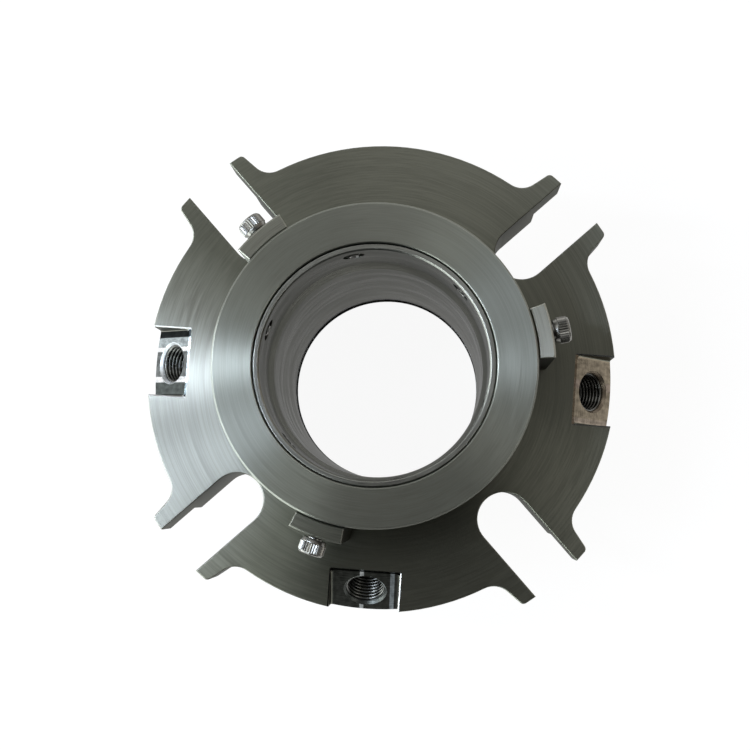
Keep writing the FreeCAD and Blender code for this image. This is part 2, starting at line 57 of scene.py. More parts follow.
# the bore is painted near black, as shade, up to the foot's height and turns to steel over the blend above it
FOOT_PAINTED_SHADE = (0.01, 0.01, 0.01)
FOOT_HEIGHT = 4.2 * MM
FOOT_BLEND = 1.5 * MM
# smears in the bore: their scale, how much shorter they are upward, and their roughness shares
SMEAR_SCALE = 38.0
SMEAR_STRETCH = (1, 1, 4)
SMEAR_SHARES = (0.88, 1.16)
# values that most of a noise lies between
NOISE_RANGE = (0.36, 0.64)
# turned faces: the scale of the wide rings against the fine ones, the shares of wide rings and of
# clouds beside the fine rings, and how fast the rings change from place to place, per metre
WIDE_SCALE = 0.15
WIDE_SHARE = 0.4
CLOUD_SCALE = 28.0
CLOUD_SHARE = 0.9
RING_DRIFT = 100.0
RING_SLANT = 0.7
# shares of the roughness in the grooves and on the crests of the tool lines, the strength of their
# relief, and its depth against the width of a line
LINE_ROUGHNESS = (0.9, 1.1)
LINE_BUMP = 0.12
LINE_DEPTH = 0.2
# an edge looks worn, and its grey is lightened as a painted highlight, where the rounded normal
# turns from the true one: one less their cosine, where the wear starts and where it is full
EDGE_WEAR_AND_HIGHLIGHT_RANGE = (0.02, 0.22)
WORN_ROUGHNESS = 0.42
# upward part of the normal on an upright wall and on a face; walls are darkened as painted shade
WALL_TO_FACE = (0.05, 0.4)
# way to the window, and the cosines between which a place is on the side toward it, where a painted sheen
# lightens the grey
LIT_WAY = (cos(radians(194)), sin(radians(194)), 0)
LIT_RANGE = (0.68, 0.94)
# keeps the tangent from vanishing where a face looks along the lines
TANGENT_LEAN = (0, 0, 0.2)
BRIGHTEST = (0.95, 0.95, 0.95)


def add(tree, kind, inputs=None, **settings):
    """Add one node to a tree, with its settings, and with values or links for its inputs."""
    node = tree.nodes.new(kind)
    for name, value in settings.items():
        setattr(node, name, value)
    for key, value in (inputs or {}).items():
        if isinstance(value, bpy.types.NodeSocket):
            tree.links.new(value, node.inputs[key])
        else:
            node.inputs[key].default_value = value
    return node


def maths(tree, operation, first, second=0.0, third=0.0):
    """Output of a Math node."""
    return add(tree, "ShaderNodeMath", {0: first, 1: second, 2: third}, operation=operation).outputs[0]


def product(tree, first, *others):
    """Product of numbers."""
    for other in others:
        first = maths(tree, "MULTIPLY", first, other)
    return first


def vectors(tree, operation, first, second=(0, 0, 0)):
    """Output of a Vector Math node: a number for a dot product or a length."""
    node = add(tree, "ShaderNodeVectorMath", {0: first, 1: second}, operation=operation)
    return node.outputs["Value"] if operation in ("DOT_PRODUCT", "LENGTH") else node.outputs["Vector"]


def join(tree, *numbers):
    """Vector from two or three numbers."""
    return add(tree, "ShaderNodeCombineXYZ", dict(enumerate(numbers))).outputs[0]


def split(tree, vector):
    """The three numbers of a vector."""
    return add(tree, "ShaderNodeSeparateXYZ", {0: vector}).outputs


def ramp(tree, value, low, high, start=0.0, end=1.0):
    """Number that goes from start to end, evenly and no further, while a value goes from low to high."""
    return add(tree, "ShaderNodeMapRange", {"Value": value, "From Min": low, "From Max": high,
                                            "To Min": start, "To Max": end}).outputs[0]


def noise(tree, place, scale, detail):
    """Value of a noise at a place."""
    return add(tree, "ShaderNodeTexNoise", {"Vector": place, "Scale": scale, "Detail": detail}).outputs[0]


def rgba(colour):
    """Colour with an opaque fourth number."""
    return tuple(colour) + (1.0,)


def colour_between(tree, factor, first, second):
    """Colour between two colours, by a factor."""
    return add(tree, "ShaderNodeMix", {0: factor, 6: first, 7: second}, data_type="RGBA").outputs[2]


def shaded(tree, colour, gain):
    """Colour times a gain, but no brighter than the brightest steel."""
    scaled = add(tree, "ShaderNodeVectorMath", {0: colour, "Scale": gain}, operation="SCALE").outputs[0]
    return vectors(tree, "MINIMUM", scaled, BRIGHTEST)


def new_finish(name, roughness, **constants):
    """Material, its tree, its shader and the object's own position."""
    material = bpy.data.materials.new(name)
    material.use_nodes = True
    tree = material.node_tree
    shader = tree.nodes["Principled BSDF"]
    shader.inputs["Roughness"].default_value = roughness
    for key, value in constants.items():
        shader.inputs[key.replace("_", " ")].default_value = value
    return material, tree, shader, add(tree, "ShaderNodeTexCoord").outputs["Object"]


def drive(tree, shader, outputs):
    """Let outputs of a tree drive the shader's sockets of the same key."""
    for key, output in outputs.items():
        tree.links.new(output, shader.inputs[key])


def turned_steel(name, grey, roughness, line, contrast, anisotropy, edge=0.6, round_off=0.22 * MM,
                 side=1.0, grazing=1.0, lit=(1.0, 1.0, 1.0)):
    """Stainless steel off the lathe, with rings that are one tool line wide.

    The rings follow the radius on faces and the height on rims, and the tangent lies across them,
    so that the light fans out as it does on turned metal. Edges are rounder, and brighter both
    from wear and as a painted highlight, and upright walls get a share of the grey as painted
    shade. The share for grazing light keeps a deep bore from shining white along its wall. The
    side toward the window takes the lit shares of the grey, as a painted sheen.
    Returns the material and what a finish can build on in its tree, by name.
    """
    material, tree, shader, place = new_finish(name, roughness, Metallic=1.0, Anisotropic=anisotropy,
                                               Specular_Tint=(grazing, grazing, grazing, 1.0))
    normal = add(tree, "ShaderNodeTexCoord").outputs["Normal"]
    x, y, z = split(tree, place)
    radius = vectors(tree, "LENGTH", join(tree, x, y))
    drift = product(tree, maths(tree, "MULTIPLY_ADD", y, RING_SLANT, x), RING_DRIFT)
    rings = join(tree, maths(tree, "DIVIDE", radius, line), maths(tree, "DIVIDE", z, line), drift)
    lines = ramp(tree, noise(tree, rings, scale=1.0, detail=3.0), *NOISE_RANGE)
    wide = ramp(tree, noise(tree, rings, WIDE_SCALE, detail=2.0), *NOISE_RANGE)
    mixed = maths(tree, "MULTIPLY_ADD", wide, WIDE_SHARE, lines)
    mixed = maths(tree, "MULTIPLY_ADD", noise(tree, place, CLOUD_SCALE, detail=3.0), CLOUD_SHARE, mixed)
    middle = (1 + WIDE_SHARE + CLOUD_SHARE) / 2
    grain = maths(tree, "MULTIPLY_ADD", maths(tree, "SUBTRACT", mixed, middle), contrast, 1.0)

    rounded = add(tree, "ShaderNodeBevel", {"Radius": round_off}, samples=4).outputs[0]
    sharp = add(tree, "ShaderNodeNewGeometry").outputs["Normal"]
    turn = maths(tree, "SUBTRACT", 1.0, vectors(tree, "DOT_PRODUCT", rounded, sharp))
    edge_wear_and_highlight = ramp(tree, turn, *EDGE_WEAR_AND_HIGHLIGHT_RANGE)
    upward = maths(tree, "ABSOLUTE", split(tree, normal)[2])
    # painted highlight: edges lightened by the edge gain, also as wear; painted shade: upright walls darkened
    # by the side share
    gain = product(tree, grain, maths(tree, "MULTIPLY_ADD", edge_wear_and_highlight, edge, 1.0),
                   ramp(tree, upward, *WALL_TO_FACE, side, 1.0))
    # painted sheen: the grey is lightened by the lit shares on the side toward the window
    spoke = join(tree, maths(tree, "DIVIDE", x, radius), maths(tree, "DIVIDE", y, radius))
    toward = ramp(tree, vectors(tree, "DOT_PRODUCT", spoke, LIT_WAY), *LIT_RANGE)
    base = colour_between(tree, toward, rgba(grey), rgba(part * share for part, share in zip(grey, lit)))
    tone = shaded(tree, base, gain)
    groove, crest = (roughness * share for share in LINE_ROUGHNESS)
    rough = ramp(tree, edge_wear_and_highlight, 0.0, 1.0, ramp(tree, lines, 0.0, 1.0, groove, crest), WORN_ROUGHNESS)
    bump = add(tree, "ShaderNodeBump", {"Height": lines, "Strength": LINE_BUMP,
                                        "Distance": line * LINE_DEPTH, "Normal": rounded}).outputs[0]

    way = vectors(tree, "NORMALIZE", vectors(tree, "CROSS_PRODUCT", (0, 0, 1), place))
    way = add(tree, "ShaderNodeVectorTransform", {0: way}, vector_type="VECTOR",
              convert_from="OBJECT", convert_to="WORLD").outputs[0]
    across = vectors(tree, "ADD", vectors(tree, "CROSS_PRODUCT", way, sharp), TANGENT_LEAN)
    tangent = vectors(tree, "NORMALIZE", across)
    drive(tree, shader, {"Base Color": tone, "Roughness": rough, "Normal": bump, "Tangent": tangent})
    return {"material": material, "tree": tree, "shader": shader, "place": place, "normal": normal,
            "tone": tone, "rough": rough, "tangent": tangent}


def finish_nodes(material, *names):
    """Give CAD nodes their material."""
    for name in names:
        nodes[name].data.materials.clear()
        nodes[name].data.materials.append(material)


sleeve = turned_steel("sleeve_steel", SLEEVE_GREY, roughness=0.30, line=SLEEVE_LINE, contrast=0.4,
                      anisotropy=0.5, edge=1.6, round_off=0.3 * MM, side=0.55, grazing=0.40)
sleeve_steel, tree = sleeve["material"], sleeve["tree"]
x, y, height = split(tree, sleeve["place"])
inward = maths(tree, "LESS_THAN", vectors(tree, "DOT_PRODUCT", sleeve["normal"], join(tree, x, y)), 0.0)
# painted shade at the bore's foot: near black and fully rough
foot = product(tree, inward, ramp(tree, height, FOOT_HEIGHT, FOOT_HEIGHT + FOOT_BLEND, 1.0, 0.0))
tone = colour_between(tree, foot, sleeve["tone"], rgba(FOOT_PAINTED_SHADE))
smears = noise(tree, vectors(tree, "MULTIPLY", sleeve["place"], SMEAR_STRETCH), SMEAR_SCALE, detail=4.0)
rough = product(tree, sleeve["rough"], ramp(tree, smears, *NOISE_RANGE, *SMEAR_SHARES))
drive(tree, sleeve["shader"], {"Base Color": tone, "Roughness": ramp(tree, foot, 0.0, 1.0, rough, 1.0)})
finish_nodes(sleeve_steel, "shaft_sleeve")

# Rubber rings
# Three moulded rings of black fluorocarbon rubber: one grips the shaft, one slides with the
# primary ring and one seals the fixed seat. They are pressed into their grooves.
RUBBER_BLACK = (0.018, 0.018, 0.019)
RUBBER_DUST = (0.03, 0.03, 0.031)
# shares of the roughness between specks and on them, and the height of a rough surface
SPECK_ROUGHNESS = (0.9, 1.15)
SPECK_HEIGHT = 0.1 * MM


def speckled(name, base, spot, scale, low, high, roughness, bump, **constants):
    """Plain finish with specks of a second colour and a fine rough surface.

    The specks come in as their noise goes from low to high.
    """
    material, tree, shader, place = new_finish(name, roughness, **constants)
    specks = noise(tree, place, scale, detail=4.0)
    plain, rougher = (roughness * share for share in SPECK_ROUGHNESS)
    rise = add(tree, "ShaderNodeBump", {"Height": specks, "Strength": bump, "Distance": SPECK_HEIGHT})
    drive(tree, shader, {
        "Base Color": colour_between(tree, ramp(tree, specks, low, high), rgba(base), rgba(spot)),
        "Roughness": ramp(tree, specks, low, high, plain, rougher), "Normal": rise.outputs[0]})
    return material


seal_rubber = speckled("seal_rubber", RUBBER_BLACK, RUBBER_DUST, scale=1400.0, low=0.45, high=0.75,
                       roughness=0.42, bump=0.15, Specular_IOR_Level=0.45)
finish_nodes(seal_rubber, "sleeve_oring", "primary_oring", "seat_oring")

# Drive pins, wave spring and thrust ring
# Ground dowels in the sleeve's flange turn the ring pack. A flat wire spring, rolled into waves,
# pushes the turned thrust ring and the primary ring against the seat.
PIN_GREY = (0.42, 0.42, 0.415)
SPRING_GREY = (0.36, 0.35, 0.335)

pins = turned_steel("pin_steel", PIN_GREY, roughness=0.22, line=0.12 * MM, contrast=0.15, anisotropy=0.4)
finish_nodes(pins["material"], "drive_pins", "seat_pin")
springs = turned_steel("spring_steel", SPRING_GREY, roughness=0.28, line=0.35 * MM, contrast=0.25,
                       anisotropy=0.6)
finish_nodes(springs["material"], "wave_spring", "bush_retaining_ring")
finish_nodes(sleeve_steel, "thrust_ring")
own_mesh(nodes["wave_spring"])

# Carbon pieces
# The primary ring and the throttle bush are turned from resin-filled carbon graphite,
# dark grey with a soft sheen and tiny pores.
CARBON_GREY = (0.028, 0.028, 0.030)
CARBON_PORE = (0.060, 0.060, 0.063)

carbon = speckled("carbon", CARBON_GREY, CARBON_PORE, scale=900.0, low=0.48, high=0.72, roughness=0.36,
                  bump=0.2, Specular_IOR_Level=0.6)
finish_nodes(carbon, "primary_ring", "throttle_bush")

# Stationary seat
# The fixed ring of sintered silicon carbide. It is ground all over and lapped on the running face.
# It sits in the gland's pocket on its rubber ring, and a pin keeps it from turning.
CERAMIC_GREY = (0.075, 0.080, 0.086)
CERAMIC_GRAIN = (0.12, 0.125, 0.13)

seat_ceramic = speckled("seat_ceramic", CERAMIC_GREY, CERAMIC_GRAIN, scale=1600.0, low=0.4, high=0.7,
                        roughness=0.16, bump=0.08, Metallic=0.35)
finish_nodes(seat_ceramic, "stationary_seat")

# Gland gasket
# A flat ring cut from pressed fibre sheet, pale with short fibres in it. It lies between the
# gland plate and the pump.
SHEET_GREEN = (0.46, 0.48, 0.43)
SHEET_FIBRE = (0.62, 0.62, 0.56)

gasket_sheet = speckled("gasket_sheet", SHEET_GREEN, SHEET_FIBRE, scale=700.0, low=0.35, high=0.65,
                        roughness=0.85, bump=0.6)
finish_nodes(gasket_sheet, "gland_gasket")

# Gland plate
# The heavy plate that bolts to the pump. Its face, boss and rim are turned, the slots and ears
# are milled, and each port has a slanted flat that an end mill has left with its own marks.
GLAND_GREY = (0.231, 0.235, 0.192)
GLAND_LINE = 0.42 * MM
# lit shares of the gland's grey: a painted sheen on the side toward the window
GLAND_PAINTED_SHEEN = (1.62, 1.60, 1.72)
# angle at which each port's flat faces out from the axis, its grey, the grey of its hole's
# chamfer, the tones of its two side edges, and the strips on it: place across the flat and half
# width in mm, and grey. The flat's grey and strips are painted reflections, the chamfer's grey a
# painted highlight, and the edge tones painted highlight and shade
PORT_FLATS = [
    (0, (0.25, 0.21, 0.155), (0.36, 0.30, 0.23), (0.12, 0.2),
     [(-10.6, 0.9, (0.30, 0.25, 0.20)), (2.0, 1.4, (0.26, 0.21, 0.17))]),
    (180, (0.19, 0.205, 0.205), (0.88, 0.91, 0.93), (0.95, 0.95),
     [(-7.5, 1.5, (0.42, 0.47, 0.48)), (-10.4, 1.15, (0.02, 0.023, 0.023)), (8.9, 2.2, (0.11, 0.125, 0.12)),
      (11.5, 0.35, (0.01, 0.01, 0.01)), (-4.95, 0.65, (0.95, 0.97, 0.98)), (5.75, 0.85, (0.95, 0.97, 0.98))]),
    (270, (0.032, 0.034, 0.030), (0.17, 0.18, 0.17), (0.03, 0.95),
     [(9.3, 0.6, (0.23, 0.26, 0.27)), (-1.2, 0.55, (0.50, 0.53, 0.53))])]
# places on a port in mm: half the flat's width, its broken side edges, how far from the seal's
# axis it starts, and the radii of the chamfer at the hole's mouth
FLAT_HALF = 11.82
SIDE_EDGE = (FLAT_HALF + 0.02, FLAT_HALF + 0.4)
FLAT_START = 66.6
MOUTH_RADII = (6.60, 7.6)
# soft ends in mm, of the flat, of its start, of a strip, and below and above a band
FLAT_BLEND = 0.05
START_BLEND = 0.2
STRIP_BLEND = 0.25
BAND_BLENDS = (0.04, 0.1)
# depths in mm over which the finish of the flat and that of the chamfer set in from below
FLAT_DEPTHS = (-0.6, -0.3)
MOUTH_DEPTHS = (-1.75, -1.45)
# cosines between which a face counts as the flat, and as looking up
FLAT_FACING = (0.76, 0.80)
UP_FACING = (0.4, 0.6)
# the mill's marks: their number in a millimetre across and down, and how much they lighten
MARKS_ACROSS = 0.5
MARKS_DOWN = 0.28
MARK_NOISE = (0.34, 0.66)
MARK_GAINS = (0.68, 1.32)
# chamfer and side edges are left duller than the flat
EDGE_ROUGHNESS = 0.5
FLAT_ROUGHNESS = 0.16


def port_centre(out):
    """Middle of a port's mouth, where its axis meets the slanted flat that looks out along it."""
    for mount in frame["record"]["mounts"]:
        way = Vector(mount["axis"])
        if mount["kind"] == "threaded_hole" and way.angle(out) < 0.01:
            return Vector(mount["pos_m"]) + way * mount["dims"]["length_mm"] * MM / 2


def band(tree, value, low, high):
    """One between two values in mm and nought outside them, with soft ends."""
    rise, fall = BAND_BLENDS
    return product(tree, ramp(tree, value, low, low + rise), ramp(tree, value, high, high + fall, 1.0, 0.0))


gland = turned_steel("gland_steel", GLAND_GREY, roughness=0.32, line=GLAND_LINE, contrast=0.17,
                     anisotropy=0.89, edge=0.4, round_off=0.3 * MM, side=0.42, grazing=0.5, lit=GLAND_PAINTED_SHEEN)
tree, place, normal = gland["tree"], gland["place"], gland["normal"]
tone, rough, tangent = gland["tone"], gland["rough"], gland["tangent"]
for angle, grey, mouth_highlight, edge_light_and_shade, reflection_strips in PORT_FLATS:
    spoke = Vector((cos(radians(angle)), sin(radians(angle)), 0))
    out = (spoke + Vector((0, 0, 1))).normalized()
    side = Vector((-spoke.y, spoke.x, 0))
    from_mouth = vectors(tree, "SUBTRACT", place, port_centre(out)[:])
    offset = vectors(tree, "DOT_PRODUCT", place, (side / MM)[:])
    wide = maths(tree, "ABSOLUTE", offset)
    start = vectors(tree, "DOT_PRODUCT", place, (spoke / MM)[:])
    fall = vectors(tree, "DOT_PRODUCT", from_mouth, (out.cross(side) / MM)[:])
    deep = vectors(tree, "DOT_PRODUCT", from_mouth, (out / MM)[:])
    reach = vectors(tree, "LENGTH", join(tree, offset, fall))

    facing = product(tree, ramp(tree, vectors(tree, "DOT_PRODUCT", normal, out[:]), *FLAT_FACING),
                     ramp(tree, wide, FLAT_HALF, FLAT_HALF + FLAT_BLEND, 1.0, 0.0),
                     ramp(tree, deep, *FLAT_DEPTHS))
    mouth = product(tree, band(tree, reach, *MOUTH_RADII), ramp(tree, deep, *MOUTH_DEPTHS))
    lip = product(tree, band(tree, wide, *SIDE_EDGE), ramp(tree, start, FLAT_START, FLAT_START + START_BLEND),
                  ramp(tree, vectors(tree, "DOT_PRODUCT", normal, (0, 0, 1)), *UP_FACING))
    marks = join(tree, product(tree, offset, MARKS_ACROSS), product(tree, fall, MARKS_DOWN))
    marks = noise(tree, marks, scale=1.0, detail=4.0)
    # painted reflection: the flat's grey and the strips across it
    flat = rgba(grey)
    for centre, half, strip in reflection_strips:
        away = maths(tree, "ABSOLUTE", maths(tree, "SUBTRACT", offset, centre))
        flat = colour_between(tree, ramp(tree, away, half, half + STRIP_BLEND, 1.0, 0.0), flat, rgba(strip))
    flat = shaded(tree, flat, ramp(tree, marks, *MARK_NOISE, *MARK_GAINS))

    # painted highlight on the mouth's chamfer; painted highlight and shade on the side edges
    tone = colour_between(tree, mouth, tone, rgba(mouth_highlight))
    tone = colour_between(tree, lip, tone, ramp(tree, offset, -1.0, 1.0, *edge_light_and_shade))
    tone = colour_between(tree, facing, tone, flat)
    rough = ramp(tree, maths(tree, "MAXIMUM", mouth, lip), 0.0, 1.0, rough, EDGE_ROUGHNESS)
    rough = ramp(tree, facing, 0.0, 1.0, rough, FLAT_ROUGHNESS)
    tangent = add(tree, "ShaderNodeMix", {0: facing, 4: tangent, 5: side[:]}, data_type="VECTOR").outputs[1]
drive(tree, gland["shader"], {"Base Color": tone, "Roughness": rough, "Tangent": tangent})
finish_nodes(gland["material"], "gland_plate")

# Port threads
# Each port is cut with a quarter inch taper pipe thread, 18 turns to the inch, up from the bottom
# of the hole. Its ridge stands in from the drilled wall and ends just below the mouth's chamfer.
# darker than the plate's steel, as painted shade inside the port holes
THREAD_GREY_IN_SHADE = (0.15, 0.15, 0.14)
PIPE_PITCH = 25.4 / 18 * MM
PIPE_DEPTH = 0.72 * MM
PIPE_STEPS = 64
# room that the thread leaves at the bottom of its hole and under the mouth, and how far its root
# is sunk into the wall
PIPE_START = 0.9 * MM
PIPE_END = 0.45 * MM
ROOT_SUNK = 0.02 * MM
# corners of a thread's section: share of its depth, and place along the axis in pitches
RIDGE_CORNERS = ((0, -0.47), (1, -0.08), (1, 0.08), (0, 0.47))
# a thread's section grows from its ends on: by its share in one turn, from the least share
FADE_RATE = 3.0
FADE_LEAST = 0.05
# finish of small machined pieces: how much brighter their worn spots are
WEAR_GAIN = 1.3


def new_geometry_tree(name, sockets):
    """Geometry tree with inputs, given as name and kind, and what its input node gives."""
    tree = bpy.data.node_groups.new(name, "GeometryNodeTree")
    tree.interface.new_socket("Geometry", in_out="INPUT", socket_type="NodeSocketGeometry")
    tree.interface.new_socket("Geometry", in_out="OUTPUT", socket_type="NodeSocketGeometry")
    for label, kind in sockets.items():
        tree.interface.new_socket(label, in_out="INPUT", socket_type="NodeSocket" + kind)
    return tree, add(tree, "NodeGroupInput").outputs


def close_geometry_tree(tree, shape, material):
    """Let a geometry tree end in Realize Instances and Set Material."""
    whole = add(tree, "GeometryNodeRealizeInstances", {0: shape}).outputs[0]
    painted = add(tree, "GeometryNodeSetMaterial", {"Geometry": whole, "Material": material}).outputs[0]
    add(tree, "NodeGroupOutput", {0: painted})
    return tree


def run_geometry_tree(tree, mesh, **values):
    """Plain mesh that a geometry tree makes from a mesh, with its inputs set by their names."""
    maker = bpy.data.objects.new("maker", mesh)
    bpy.context.scene.collection.objects.link(maker)
    modifier = maker.modifiers.new("shape", "NODES")
    modifier.node_group = tree
    for item in tree.interface.items_tree:
        label = item.name.replace(" ", "_")
        if item.in_out == "INPUT" and label in values:
            modifier[item.identifier] = values[label]
    bpy.context.view_layer.update()
    made = bpy.data.meshes.new_from_object(maker.evaluated_get(bpy.context.evaluated_depsgraph_get()))
    bpy.data.objects.remove(maker)
    return made


def coil_tree():
    """Helical ridge of trapezoid section. It climbs from the origin along Z, right-handed."""
    tree, given = new_geometry_tree("thread_coil", {
        "Pitch": "Float", "Turns": "Float", "Root Radius": "Float", "Crest Radius": "Float", "Steps": "Int",
        "Material": "Material"})
    height = product(tree, given["Pitch"], given["Turns"])
    helix = add(tree, "GeometryNodeCurveSpiral", {
        "Resolution": given["Steps"], "Rotations": given["Turns"], "Start Radius": given["Root Radius"],
        "End Radius": given["Root Radius"], "Height": height}).outputs[0]
    upright = add(tree, "GeometryNodeSetCurveNormal", {"Curve": helix}, mode="Z_UP").outputs[0]
    share = add(tree, "GeometryNodeSplineParameter").outputs["Factor"]
    nearest = maths(tree, "MINIMUM", share, maths(tree, "SUBTRACT", 1.0, share))
    fade = product(tree, nearest, given["Turns"], FADE_RATE)
    fade = maths(tree, "MAXIMUM", maths(tree, "MINIMUM", fade, 1.0), FADE_LEAST)
    upright = add(tree, "GeometryNodeSetCurveRadius", {"Curve": upright, "Radius": fade}).outputs[0]
    deep = maths(tree, "SUBTRACT", given["Root Radius"], given["Crest Radius"])
    corners = {"Point %d" % number: join(tree, product(tree, deep, out), product(tree, given["Pitch"], up))
               for number, (out, up) in enumerate(RIDGE_CORNERS, start=1)}
    section = add(tree, "GeometryNodeCurvePrimitiveQuadrilateral", corners, mode="POINTS").outputs[0]
    ridge = add(tree, "GeometryNodeCurveToMesh", {"Curve": upright, "Profile Curve": section,
                                                  "Fill Caps": True}).outputs[0]
    outside = add(tree, "FunctionNodeCompare", {0: deep, 1: 0.0}, operation="LESS_THAN").outputs[0]
    outward = add(tree, "GeometryNodeFlipFaces", {"Mesh": ridge, "Selection": outside}).outputs[0]
    return close_geometry_tree(tree, outward, given["Material"])


thread_coil = coil_tree()


def coil(pitch, length, root_r, crest_r, steps, material):
    """Mesh of a thread's ridge that climbs from the origin for a length."""
    return run_geometry_tree(thread_coil, bpy.data.meshes.new("coil"), Pitch=pitch, Turns=length / pitch,
                             Root_Radius=root_r, Crest_Radius=crest_r, Steps=steps, Material=material)


def metal_detail(name, grey, roughness):
    """Bright steel of small machined pieces, with short marks of the tool and a little wear."""
    light = tuple(part * WEAR_GAIN for part in grey)
    return speckled(name, grey, light, scale=700.0, low=0.35, high=0.7, roughness=roughness, bump=0.15,
                    Metallic=1.0)


def along(pos, axis, distance=0.0):
    """Matrix that stands a shape's Z on an axis, at a distance along it from a point."""
    axis = Vector(axis).normalized()
    turn = axis.to_track_quat("Z", "Y").to_matrix().to_4x4()
    return Matrix.Translation(Vector(pos) + axis * distance) @ turn


def gather(name, shapes, body, replaced=None):
    """One piece from copies of meshes, each with its place, that rides on a body.

    It takes the place of a CAD node, which it hides, when one is given.
    """
    mesh = bpy.data.meshes.new(name)
    whole = bmesh.new()
    for shape, place in shapes:
        copy = shape.copy()
        copy.transform(place)
        whole.from_mesh(copy)
        bpy.data.meshes.remove(copy)
    for face in whole.faces:
        face.material_index = 0
    whole.to_mesh(mesh)
    whole.free()
    mesh.materials.append(shapes[0][0].materials[-1])
    piece = bpy.data.objects.new(name, mesh)
    bpy.context.scene.collection.objects.link(piece)
    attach(piece, body)
    if replaced:
        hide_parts(replaced)


mounts = {mount["name"]: mount for mount in frame["record"]["mounts"]}
thread_steel = metal_detail("thread_steel", THREAD_GREY_IN_SHADE, roughness=0.28)
port_threads = []
for port in ("flush_port", "quench_port", "drain_port"):
    mount = mounts[port]
    length = mount["dims"]["length_mm"] * MM
    wall_r = mount["dims"]["r_mm"] * MM
    ridge = coil(PIPE_PITCH, length - PIPE_START - PIPE_END, wall_r + ROOT_SUNK, wall_r - PIPE_DEPTH,
                 PIPE_STEPS, thread_steel)
    port_threads.append((ridge, along(mount["pos_m"], mount["axis"], PIPE_START - length / 2)))
gather("port_threads", port_threads, "gland")

# Drive collar
# The thick ring that clamps the sleeve to the shaft. It is turned from the same bar stock as the
# plate, a little brighter, with six tapped holes for set screws and three for the clips' screws.
COLLAR_GREY = (0.290, 0.299, 0.260)
COLLAR_LINE = 0.26 * MM

collar = turned_steel("collar_steel", COLLAR_GREY, roughness=0.327, line=COLLAR_LINE, contrast=0.12,
                      anisotropy=0.9, edge=1.6, round_off=0.3 * MM, side=0.6, grazing=0.6)
collar_steel = collar["material"]
finish_nodes(collar_steel, "drive_collar")

# Set screws
# Six M6 screws with hexagon sockets and cup points, which pass through the sleeve and bite the
# shaft. They sit below the collar's rim, so that some of the tapped thread shows above each.
SCREW_GREY = (0.25, 0.245, 0.225)
SCREW_Z = 100.0 * MM
SCREW_STEPS = 40
SET_ANGLES = [45 + 60 * number for number in range(6)]
SET_END_R = 48.1 * MM
SET_LENGTH = 12.0 * MM
SET_PITCH = 1.0 * MM
SET_COLUMNS = 96
# radius, knurl depth and height of each ring of points, in mm, and 1 where the ring is a hexagon
SET_OUTLINE = [
    (0, 0, -11.3, 0), (1.1, 0, -12, 0), (1.35, 0, -12, 0), (2.42, 0, -11.1, 0), (2.42, 0, -0.5, 0),
    (2.05, 0, 0, 0), (1.85, 0, 0, 0), (1.5, 0, -0.25, 1), (1.5, 0, -3.3, 1), (0, 0, -3.7, 0)]
# root and crest of the screw's thread and of the tapped thread, the plain lengths at the screw's
# foot and at its socket, and where the tapped thread starts above the screw and how far it goes
SET_THREAD_R = (2.40 * MM, 2.95 * MM)
TAPPED_THREAD_R = (3.02 * MM, 2.52 * MM)
SET_FOOT = 1.4 * MM
SET_TOP = 0.8 * MM
TAPPED_START = 0.45 * MM
TAPPED_LENGTH = 2.6 * MM
# bend above which an edge of a turned piece is sharp, the distance at which points are one, and a
# small shift that keeps the knurl's teeth off the seam
SHARP_BEND = radians(28)
SAME_POINT = 1e-6
TOOTH_SHIFT = 0.001


